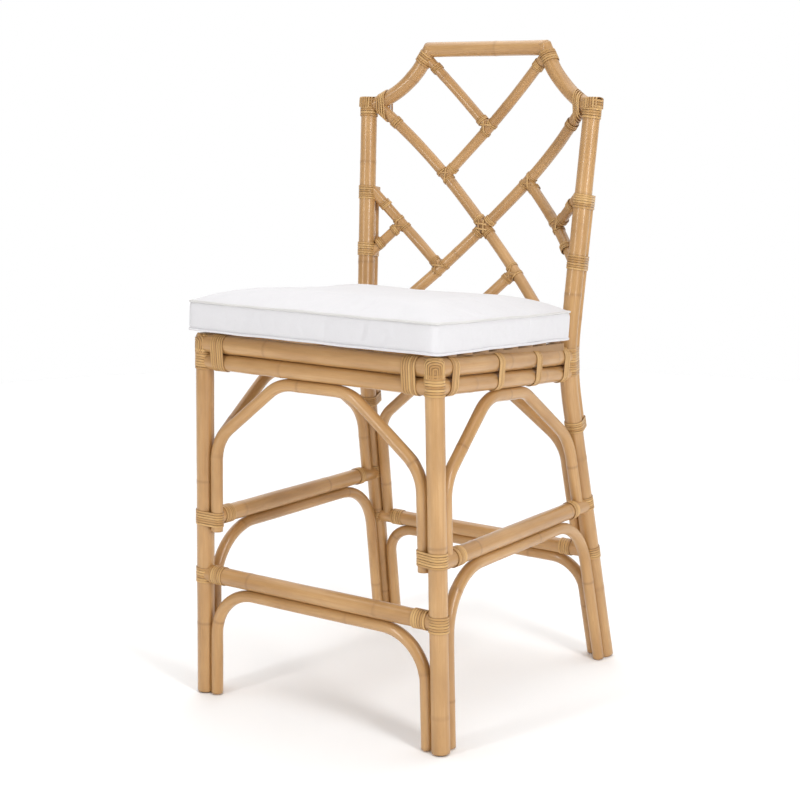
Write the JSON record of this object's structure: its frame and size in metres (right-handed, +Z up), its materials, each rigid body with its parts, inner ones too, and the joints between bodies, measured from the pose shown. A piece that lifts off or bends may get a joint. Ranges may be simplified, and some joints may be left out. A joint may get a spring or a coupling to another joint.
{
  "type": "bar stool with footrest",
  "caption": "Rattan bar stool with bent arches under the seat, a footrest, a diagonal lattice back and a loose piped cushion.",
  "frame": {"origin": "centre of the footprint, on the floor", "axes": "+Z up along the height; the front of the seat faces -Y; +X is the sitter's left when seated facing -Y"},
  "size_m": [0.5415, 0.6168, 1.1495],
  "materials": {
    "rattan_pole": "semi-gloss clear lacquer on peeled rattan",
    "cane_binding": "semi-gloss rattan peel, wound",
    "cushion_cover": "plain woven cover, matt",
    "piping_cord": "cloth-covered cord, matt",
    "deck_wood": "plain softwood, unfinished",
    "glide_plastic": "moulded, matt",
    "screw_steel": "zinc plated"
  },
  "bodies": {
    "frame": {"arch_back_lower": "rattan_pole", "arch_back_upper": "rattan_pole", "arch_front_lower": "rattan_pole", "arch_front_upper": "rattan_pole", "arch_left_lower": "rattan_pole", "arch_left_upper": "rattan_pole", "arch_right_lower": "rattan_pole", "arch_right_upper": "rattan_pole", "backing_left": "rattan_pole", "backing_right": "rattan_pole", "cane_back_corner": "cane_binding", "cane_back_legs": "cane_binding", "cane_backing_foot": "cane_binding", "cane_cross_rails": "cane_binding", "cane_crossing": "cane_binding", "cane_crown": "cane_binding", "cane_front_corner": "cane_binding", "cane_front_legs": "cane_binding", "cane_lattice_ends": "cane_binding", "cane_post_tops": "cane_binding", "cane_posts": "cane_binding", "cane_side_rail_ends": "cane_binding", "cane_side_rail_loops": "cane_binding", "cane_stretchers": "cane_binding", "cane_tees": "cane_binding", "crown_rail": "rattan_pole", "footrest": "rattan_pole", "frame_screws": "screw_steel", "glides": "glide_plastic", "lattice_foot": "rattan_pole", "lattice_long_left": "rattan_pole", "lattice_long_right": "rattan_pole", "lattice_side_left": "rattan_pole", "lattice_side_right": "rattan_pole", "lattice_stub_left": "rattan_pole", "lattice_stub_right": "rattan_pole", "lattice_top_left": "rattan_pole", "lattice_top_right": "rattan_pole", "leg_front_left": "rattan_pole", "leg_front_right": "rattan_pole", "post_back_left": "rattan_pole", "post_back_right": "rattan_pole", "rail_back_lower": "rattan_pole", "rail_back_upper": "rattan_pole", "rail_front_lower": "rattan_pole", "rail_front_upper": "rattan_pole", "rail_left_lower": "rattan_pole", "rail_left_upper": "rattan_pole", "rail_right_lower": "rattan_pole", "rail_right_upper": "rattan_pole", "seat_bearers": "deck_wood", "seat_slats": "deck_wood", "shoulder_left": "rattan_pole", "shoulder_right": "rattan_pole", "stretcher_back": "rattan_pole", "stretcher_left": "rattan_pole", "stretcher_right": "rattan_pole"},
    "cushion": {"cushion": "cushion_cover", "piping_bottom": "piping_cord", "piping_top": "piping_cord"}
  },
  "joints": [
    {"name": "cushion_lift", "type": "slide", "parent": "frame", "child": "cushion", "axis": [0, 0, 1], "range_m": [0, 0.15]}
  ]
}
